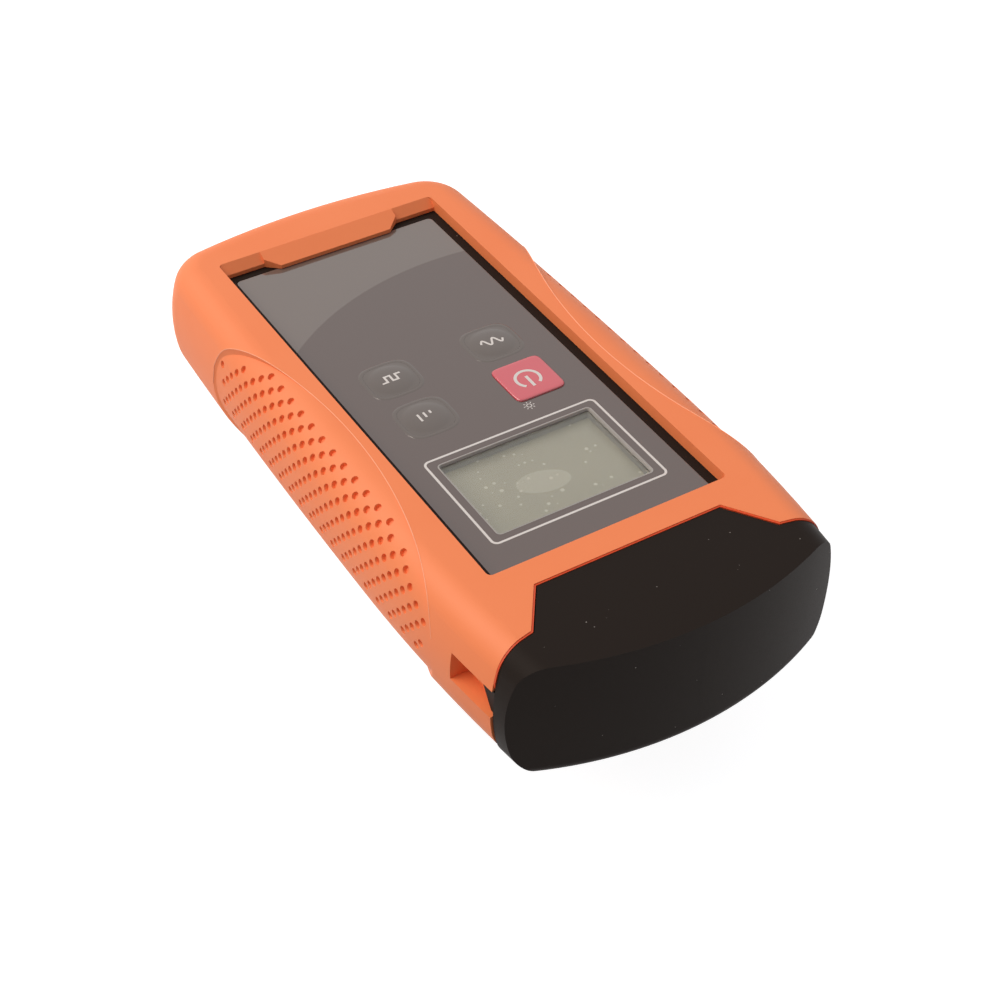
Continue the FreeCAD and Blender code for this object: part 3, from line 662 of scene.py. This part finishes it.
def makeWindow():  # clear plate held under the film, the foam frame below it and the cut edge of the film; that edge and a thin line beside it are pale grey, a painted highlight
    low, high = corners("display_window")
    middle = (low + high) / 2
    under = high.z - window["thickness"]
    ledge = high.z - window["relief"]
    rings = [
        windowRing(middle, window["seat"], under), windowRing(middle, window["seat"], ledge),
        windowRing(middle, -window["clearance"], ledge),
        windowRing(middle, -window["clearance"] - window["relief"], high.z),
    ]
    lens = showSolid("windowLens", lofted(rings), finishes["clear_window"], "case")
    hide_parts("display_window")

    foot = low.z + window["gap"]
    head = under + window["gap"]
    section = [
        windowRing(middle, window["gasketOut"], foot), windowRing(middle, window["gasketOut"], head),
        windowRing(middle, window["gasketIn"], head), windowRing(middle, window["gasketIn"], foot),
    ]
    gasket = showSolid("displayGasket", banded(section), greyFoam, "case")

    top = filmTop + window["edgeProud"]
    sill = high.z + window["edgeProud"]
    section = [
        windowRing(middle, window["edgeOut"], top), windowRing(middle, 0.0, top),
        windowRing(middle, -window["edgeIn"], sill), windowRing(middle, -window["edgeIn"], high.z),
        windowRing(middle, window["edgeOut"], filmTop - window["edgeProud"]),
    ]
    # the film's cut edge is pale grey: painted highlight
    edge = showSolid("windowEdge", banded(section), edgeHighlight, "case")

    # thin pale line just outside the opening: painted highlight
    rim = [spot.xy for spot in windowRing(middle, window["lineOut"], filmTop)]
    line = inkLine(rim, window["lineStroke"], lambda x, y: top, True)
    bright = showSolid("windowLine", line, edgeHighlight, "case")


makeWindow()


# Parting lip of the boot

lip = {
    "notchHalf": 22.7, "notchY": 61.4, "shoulderHalf": 30.0, "shoulderY": 72.1, "outside": 48.65,
    "sweep": 4.0, "forward": 0.08, "width": 0.6, "depth": 1.4, "under": 0.22, "endX": 39.7, "steps": 18,
}


def makeLip():  # thin edge of the soft boot that leans on the cap along the parting line; its deeper red is painted shade
    ahead = lip["forward"]
    right = [Vector((lip["notchHalf"] - ahead, lip["notchY"] + ahead))]
    rise = lip["sweep"] / (lip["outside"] - lip["shoulderHalf"])
    for i in range(lip["steps"] + 1):
        turn = math.pi / 2 * i / lip["steps"]
        x = lip["shoulderHalf"] + (lip["endX"] - lip["shoulderHalf"]) * math.sin(turn)
        y = lip["shoulderY"] + rise * (x - lip["shoulderHalf"])
        right.append(Vector((x - (ahead if i == 0 else 0), y + ahead)))
    path = [Vector((-spot.x, spot.y)) for spot in reversed(right)] + right
    strip = inkLine(path, lip["width"], lambda x, y: bootLevel(x, y) - lip["under"], False, lip["depth"])
    # deeper red colour: painted shade of the gap at the cap
    edge = showSolid("partingLip", strip, lipShadePaint, "case")


makeLip()
print("mould line, window and parting lip made")


# Keys

keyForm = {
    "points": 64, "flange": 0.9, "stem": 2.0, "stemPower": 12.0, "flangeFoot": 2.0, "flangeTop": 3.0,
    "spread": 0.14,
}
softForm = {
    "power": 3.5, "domePower": 2.1, "ledge": 0.06, "fall": 0.42, "fallPower": 3, "crease": 60.0,
    "shares": (0.93, 0.88, 0.8, 0.7, 0.55, 0.35, 0.15),
    "swell": ((1.15, -0.05), (0.95, 0.05), (0.75, 0.09), (0.3, 0.07), (0.16, 0.06), (0.16, -0.3)),
}
powerForm = {"power": 9.0, "steps": ((0.0, 0.22), (0.06, 0.34), (0.2, 0.43), (0.5, 0.48), (1.0, 0.5))}


def keyRing(centre, halfX, halfY, power, z):  # rounded outline: higher powers are squarer
    ring = []
    for i in range(keyForm["points"]):
        angle = 2 * math.pi * (i + 0.5) / keyForm["points"]
        across = math.cos(angle)
        along = math.sin(angle)
        x = halfX * math.copysign(abs(across) ** (2 / power), across)
        y = halfY * math.copysign(abs(along) ** (2 / power), along)
        ring.append(Vector((centre.x + x, centre.y + y, z)))
    return ring


def keyFoot(centre, halfX, halfY, power, low):  # stem and flange under the film
    stem = keyForm["stem"]
    brim = keyForm["flange"] - keyForm["spread"]
    wide = (halfX + brim, halfY + brim)
    foot = low + keyForm["flangeFoot"]
    top = low + keyForm["flangeTop"]
    return [
        keyRing(centre, stem, stem, keyForm["stemPower"], low),
        keyRing(centre, stem, stem, keyForm["stemPower"], foot),
        keyRing(centre, *wide, power, foot),
        keyRing(centre, *wide, power, top),
        keyRing(centre, halfX, halfY, power, top),
    ]


def domeLevel(centre, halfX, halfY, top, x, y):  # height of a soft key's dome
    share = math.hypot((x - centre.x) / halfX, (y - centre.y) / halfY)
    return top - softForm["fall"] * (share / softForm["shares"][0]) ** softForm["fallPower"]


def makeSwell(node, centre, halfX, halfY):  # low swelling of the film round a soft key
    rings = []
    for out, rise in softForm["swell"]:
        reach = out - keyForm["spread"]
        rings.append(keyRing(centre, halfX + reach, halfY + reach, softForm["power"], filmTop + rise))
    swell = showSolid(node + ".swell", banded(rings), keyFilm, "case", softForm["crease"])


def makeKey(node, material):  # a key that goes down inside the film, with its middle and its height
    low, high = corners(node)
    centre = (low + high) / 2
    halfX = (high.x - low.x) / 2 - keyForm["flange"] + keyForm["spread"]
    halfY = (high.y - low.y) / 2 - keyForm["flange"] + keyForm["spread"]
    if node == "power_key":
        rings = keyFoot(centre, halfX, halfY, powerForm["power"], low.z)
        for inset, rise in powerForm["steps"]:
            rings.append(keyRing(centre, halfX - inset, halfY - inset, powerForm["power"], filmTop + rise))
        level = lambda x, y: high.z
    else:
        rings = keyFoot(centre, halfX, halfY, softForm["power"], low.z)
        rings.append(keyRing(centre, halfX, halfY, softForm["power"], filmTop + softForm["ledge"]))
        for share in softForm["shares"]:
            z = domeLevel(centre, halfX, halfY, high.z, centre.x + share * halfX, centre.y)
            rings.append(keyRing(centre, share * halfX, share * halfY, softForm["domePower"], z))
        level = lambda x, y: domeLevel(centre, halfX, halfY, high.z, x, y)
        makeSwell(node, centre, halfX, halfY)
    piece = showSolid(node + ".pad", lofted(rings), material, node)
    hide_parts(node)
    return centre, level


keyPlaces = {"power_key": makeKey("power_key", redFilm)}
for name in ("wavelength_key", "modulation_key", "ident_key"):
    keyPlaces[name] = makeKey(name, keyFilm)


# Printed signs

signs = {
    "frameWidth": 43.8, "frameLength": 30.3, "frameStroke": 0.55, "frameCorner": 1.3,
    "powerShift": (0.25, 0.4), "powerRadius": 2.9, "powerStroke": 0.74, "powerGap": 38.0, "powerSteps": 40,
    "barLow": -0.95, "barHigh": 3.0, "stroke": 0.5, "waveLength": 2.8, "waveHeight": 1.1, "waveTurns": 2,
    "waveSteps": 32, "pulseStep": 1.35, "pulseHeight": 1.0, "barHeights": (1.0, 1.8, 2.6), "barPitch": 1.5,
    "lampShift": (4.85, 8.35), "lampRadius": 0.55, "lampStroke": 0.2, "lampPoints": 24, "rayFrom": 0.9,
    "rayTo": 1.35, "rays": 8,
}


def filmLevel(x, y):
    return filmTop


def printSign(name, lines, body):
    sign = showSolid(name, joined(lines), whiteInk, body)


def printFrame():  # white line round the display
    low, high = corners("display_window")
    stroke = signs["frameStroke"]
    size = (signs["frameWidth"] - stroke, signs["frameLength"] - stroke)
    outline = roundedPath((low + high) / 2, *size, signs["frameCorner"])
    printSign("displayFrame", [inkLine(outline, stroke, filmLevel, True)], "case")


def printPower(centre, level):  # open ring with a bar
    x = centre.x + signs["powerShift"][0]
    y = centre.y + signs["powerShift"][1]
    gap = signs["powerGap"]
    ring = arcPath((x, y), signs["powerRadius"], 90 + gap, 450 - gap, signs["powerSteps"])
    bar = [Vector((x, y + signs["barLow"])), Vector((x, y + signs["barHigh"]))]
    stroke = signs["powerStroke"]
    printSign("powerSign", [inkLine(ring, stroke, level), inkLine(bar, stroke, level)], "power_key")


def printLamp(centre):  # small lamp with rays, beside the red key
    lamp = (centre.x + signs["lampShift"][0], centre.y + signs["lampShift"][1])
    count = signs["lampPoints"]
    ring = arcPath(lamp, signs["lampRadius"], 0, 360 - 360 / count, count - 1)
    strokes = [inkLine(ring, signs["lampStroke"], filmLevel, True)]
    for turn in roundTurns(signs["rays"]):
        away = Vector((math.cos(turn), math.sin(turn)))
        ray = [Vector(lamp) + away * signs["rayFrom"], Vector(lamp) + away * signs["rayTo"]]
        strokes.append(inkLine(ray, signs["lampStroke"], filmLevel))
    printSign("backlightSign", strokes, "case")


def printWave(centre, level):
    span = signs["waveLength"]
    count = signs["waveSteps"]
    wave = []
    for i in range(count + 1):
        along = span * (i / count - 0.5) * 2
        rise = signs["waveHeight"] * math.sin(math.pi * signs["waveTurns"] * along / span)
        wave.append(Vector((centre.x + along, centre.y + rise)))
    printSign("waveSign", [inkLine(wave, signs["stroke"], level)], "wavelength_key")


def printPulse(centre, level):
    step = signs["pulseStep"]
    rise = signs["pulseHeight"]
    turns = [(-2, -1), (-1, -1), (-1, 1), (0, 1), (0, -1), (1, -1), (1, 1), (2, 1)]
    pulse = [Vector((centre.x + i * step, centre.y + j * rise)) for i, j in turns]
    printSign("pulseSign", [inkLine(pulse, signs["stroke"], level)], "modulation_key")


def printBars(centre, level):
    foot = centre.y - signs["barHeights"][-1] / 2
    bars = []
    for i, height in enumerate(signs["barHeights"]):
        x = centre.x + (i - 1) * signs["barPitch"]
        bars.append(inkLine([Vector((x, foot)), Vector((x, foot + height))], signs["stroke"], level))
    printSign("levelSign", bars, "ident_key")


printFrame()
printPower(*keyPlaces["power_key"])
printLamp(keyPlaces["power_key"][0])
printWave(*keyPlaces["wavelength_key"])
printPulse(*keyPlaces["modulation_key"])
printBars(*keyPlaces["ident_key"])
print("keys and signs made")


# Port thread and screws

port = {"flange": 2.0, "radius": 4.0}
thread = {"pitch": 0.75, "groove": 0.27, "sides": 8, "turn": 40, "rest": 0.7, "runOut": 0.5}


def threadTree():  # winds a round groove into a barrel that points along Y
    tree, given = startTree("portThread", {
        "Radius": "NodeSocketFloat", "Groove": "NodeSocketFloat", "Turns": "NodeSocketFloat",
        "Length": "NodeSocketFloat", "Place": "NodeSocketVector", "Material": "NodeSocketMaterial"})
    spiral = add(tree, "GeometryNodeCurveSpiral", {}, {
        "Resolution": thread["turn"], "Rotations": given.outputs["Turns"],
        "Height": given.outputs["Length"], "Start Radius": given.outputs["Radius"],
        "End Radius": given.outputs["Radius"]})
    section = add(tree, "GeometryNodeCurvePrimitiveCircle", {"mode": "RADIUS"}, {
        "Resolution": thread["sides"], "Radius": given.outputs["Groove"]})
    wound = add(tree, "GeometryNodeCurveToMesh", {}, {
        "Curve": spiral.outputs[0], "Profile Curve": section.outputs[0], "Fill Caps": True})
    placed = add(tree, "GeometryNodeTransform", {}, {
        "Geometry": wound.outputs[0], "Translation": given.outputs["Place"],
        "Rotation": (-math.pi / 2, 0, 0)})
    return closeTree(tree, given, cutAway(tree, given.outputs["Geometry"], placed.outputs[0]))


def makePort():
    low, high = corners("fibre_adapter")
    axis = (low + high) / 2
    start = corners("end_plate")[1].y + port["flange"] + thread["rest"]
    length = high.y + thread["runOut"] - start
    mesh = growMesh("port", weldedCopy("fibre_adapter"), threadTree(), {
        "Radius": port["radius"] * mm, "Groove": thread["groove"] * mm, "Turns": length / thread["pitch"],
        "Length": length * mm, "Place": Vector((axis.x, start, axis.z)) * mm,
        "Material": finishes["nickel"]})
    restoreNormals(mesh)
    piece = showPiece("threadedPort", mesh, finishes["nickel"], "case")
    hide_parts("fibre_adapter")
    print("port faces:", len(mesh.polygons))


screws = {
    "corner": 4.6, "radius": 1.25, "steps": ((0.0, -0.1), (0.0, 0.5), (0.12, 0.66), (0.35, 0.75)),
    "sides": 24, "crossWidth": 0.4, "crossLength": 1.5, "crossDepth": 0.45, "doorWidth": 0.6,
    "doorLength": 2.6, "doorDepth": 0.9,
}


def recessTree():  # sinks a driver cross at each point, along the direction that the point keeps
    tree, given = startTree("crossRecess", {
        "Places": "NodeSocketObject", "Width": "NodeSocketFloat", "Length": "NodeSocketFloat",
        "Depth": "NodeSocketFloat", "Material": "NodeSocketMaterial"})
    places = add(tree, "GeometryNodeObjectInfo", {}, {"Object": given.outputs["Places"]})
    arms = []
    for wide, deep in (("Width", "Length"), ("Length", "Width")):
        size = add(tree, "ShaderNodeCombineXYZ", {}, {
            0: given.outputs[wide], 1: given.outputs[deep], 2: given.outputs["Depth"]})
        arm = add(tree, "GeometryNodeMeshCube", {}, {"Size": size.outputs[0]})
        arms.append(onPoints(tree, places.outputs["Geometry"], arm.outputs["Mesh"]))
    return closeTree(tree, given, cutAway(tree, given.outputs["Geometry"], arms))


def recessed(name, mesh, tree, spots, tilt, kind):  # mesh with a driver cross sunk at each spot
    places = linked(name + "Places", tiltedPoints(name + "Places", spots, [tilt] * len(spots)))
    grown = growMesh(name, mesh, tree, {
        "Places": places, "Width": screws[kind + "Width"] * mm, "Length": screws[kind + "Length"] * mm,
        "Depth": 2 * screws[kind + "Depth"] * mm, "Material": finishes["steel"]})
    bpy.data.objects.remove(places)
    return grown


def makeDoorScrew(tree):
    low, high = corners("door_screw")
    face = Vector(((low.x + high.x) / 2, (low.y + high.y) / 2, low.z))
    mesh = recessed("doorScrew", weldedCopy("door_screw"), tree, [face], Vector((0, 0, -1)), "door")
    restoreNormals(mesh)
    screw = showPiece("doorScrew", mesh, finishes["steel"], "case")
    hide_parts("door_screw")


def headRings(x, z, front):  # outline of a screw head at each step of its profile
    rings = []
    for inset, out in screws["steps"]:
        radius = screws["radius"] - inset
        y = front + out
        turns = roundTurns(screws["sides"])
        rings.append([Vector((x + radius * math.cos(a), y, z + radius * math.sin(a))) for a in turns])
    return rings


def makeFlangeScrews(tree):
    low, high = corners("fibre_adapter")
    front = corners("end_plate")[1].y + port["flange"]
    heads = []
    spots = []
    for side in (1, -1):
        x = (low.x + high.x) / 2 + side * screws["corner"]
        z = (low.z + high.z) / 2 + side * screws["corner"]
        heads.append(lofted(headRings(x, z, front)))
        spots.append(Vector((x, front + screws["steps"][-1][1], z)))
    mesh = closedMesh("flangeScrews", *joined(heads))
    mesh = recessed("flangeScrews", mesh, tree, spots, Vector((0, 1, 0)), "cross")
    mesh.set_sharp_from_angle(angle=math.radians(edgeAngle))
    showPiece("flangeScrews", mesh, finishes["steel"], "case")
    print("screw faces:", len(mesh.polygons))


makePort()
crossTree = recessTree()
makeDoorScrew(crossTree)
makeFlangeScrews(crossTree)


# Stage, light and camera

stage = {
    "floor": "#b0b0b0", "lift": 0.9, "under": 0.05, "reach": 4000.0, "edge": 44.0, "fall": 26.0,
    "drop": 24.0, "steps": 24,
}


def floorMesh():  # strip that falls away in front, so that the cap has room to open downward
    reach = stage["reach"]
    top = -stage["under"]
    profile = [(-reach, top)]
    for i in range(stage["steps"] + 1):
        share = i / stage["steps"]
        sunk = stage["drop"] * (1 - math.cos(math.pi * share)) / 2
        profile.append((stage["edge"] + stage["fall"] * share, top - sunk))
    profile.append((reach, top - stage["drop"]))
    points = [Vector((x, y, z)) * mm for y, z in profile for x in (-reach, reach)]
    faces = [(i, i + 1, i + 3, i + 2) for i in range(0, len(points) - 2, 2)]
    mesh = bpy.data.meshes.new("floor")
    mesh.from_pydata(points, [], faces)
    mesh.shade_smooth()
    return mesh


def paleFloor():  # matt board, lifted to white where it is seen and still darker in the object's shadow
    material, tree = startMaterial("paleFloor")[:2]
    path = add(tree, "ShaderNodeLightPath")
    seen = compute(tree, "MAXIMUM", path.outputs["Is Camera Ray"], path.outputs["Is Glossy Ray"])
    lift = compute(tree, "MULTIPLY", seen, stage["lift"])
    matt = add(tree, "ShaderNodeBsdfDiffuse", {}, {"Color": linear(stage["floor"])})
    glow = add(tree, "ShaderNodeEmission", {}, {"Color": (1, 1, 1, 1), "Strength": lift})
    both = add(tree, "ShaderNodeAddShader", {}, {0: matt.outputs[0], 1: glow.outputs[0]})
    add(tree, "ShaderNodeOutputMaterial", {}, {"Surface": both.outputs[0]})
    return material


def makeStage():
    mesh = floorMesh()
    mesh.materials.append(paleFloor())
    floor = linked("floor", mesh)


lighting = {
    "sky": 0.66, "front": 0.25, "shadeFrom": -0.3, "shadeTo": 0.7, "skyTint": "#f3f7ff",
    "seenTint": "#ffffff", "keyPlace": (0.9, -0.55, 1.35), "keySize": 1.4, "keyPower": 22.5,
    "keyTint": "#fff3e6",
}


def makeSky():  # white where it is seen; as a light dimmer on the cap's side, as with a dark card there
    world = bpy.data.worlds.new("studioSky")
    world.use_nodes = True
    tree = world.node_tree
    tree.nodes.clear()
    path = add(tree, "ShaderNodeLightPath")
    direct = compute(tree, "MAXIMUM", path.outputs["Is Camera Ray"], path.outputs["Is Glossy Ray"])
    seen = compute(tree, "MAXIMUM", direct, path.outputs["Is Transmission Ray"])
    coords = add(tree, "ShaderNodeTexCoord")
    ahead = add(tree, "ShaderNodeVectorMath", {"operation": "DOT_PRODUCT"}, {
        0: coords.outputs["Generated"], 1: Vector((0, 1, 0))})
    shade = add(tree, "ShaderNodeMapRange", {}, {
        0: ahead.outputs["Value"], 1: lighting["shadeFrom"], 2: lighting["shadeTo"],
        3: lighting["sky"], 4: lighting["front"]})
    level = between(tree, seen, (shade.outputs[0], 1.0))
    tint = blended(tree, seen, lighting["skyTint"], lighting["seenTint"])
    sky = add(tree, "ShaderNodeBackground", {}, {"Color": tint, "Strength": level})
    add(tree, "ShaderNodeOutputWorld", {}, {"Surface": sky.outputs[0]})
    scene.world = world


def makeLamp():
    lamp = bpy.data.lights.new("softbox", "AREA")
    lamp.size = lighting["keySize"]
    lamp.energy = lighting["keyPower"]
    lamp.color = linear(lighting["keyTint"])[:3]
    key = linked("softbox", lamp)
    key.location = lighting["keyPlace"]
    key.rotation_euler = (-key.location).to_track_quat("-Z", "Y").to_euler()


view = {
    "azimuth": 148.98, "elevation": 41.56, "roll": -0.28, "place": (171.23, 295.57, 300.06), "lens": 70.1,
    "sensor": 36.0, "near": 0.01, "far": 20.0,
}


def makeCamera():
    around = math.radians(view["azimuth"])
    above = math.radians(view["elevation"])
    flat = math.cos(above)
    back = Vector((math.sin(around) * flat, -math.cos(around) * flat, math.sin(above)))
    facing = (-back).to_track_quat("-Z", "Y").to_matrix().to_4x4()
    turn = facing @ Matrix.Rotation(math.radians(view["roll"]), 4, "Z")
    data = bpy.data.cameras.new("photoView")
    data.lens = view["lens"]
    data.sensor_width = view["sensor"]
    data.clip_start = view["near"]
    data.clip_end = view["far"]
    camera = linked("photoView", data)
    camera.matrix_world = Matrix.Translation(Vector(view["place"]) * mm) @ turn
    scene.camera = camera


makeStage()
makeSky()
makeLamp()
makeCamera()
scene.view_settings.view_transform = "Standard"
print("stage, light and camera set")
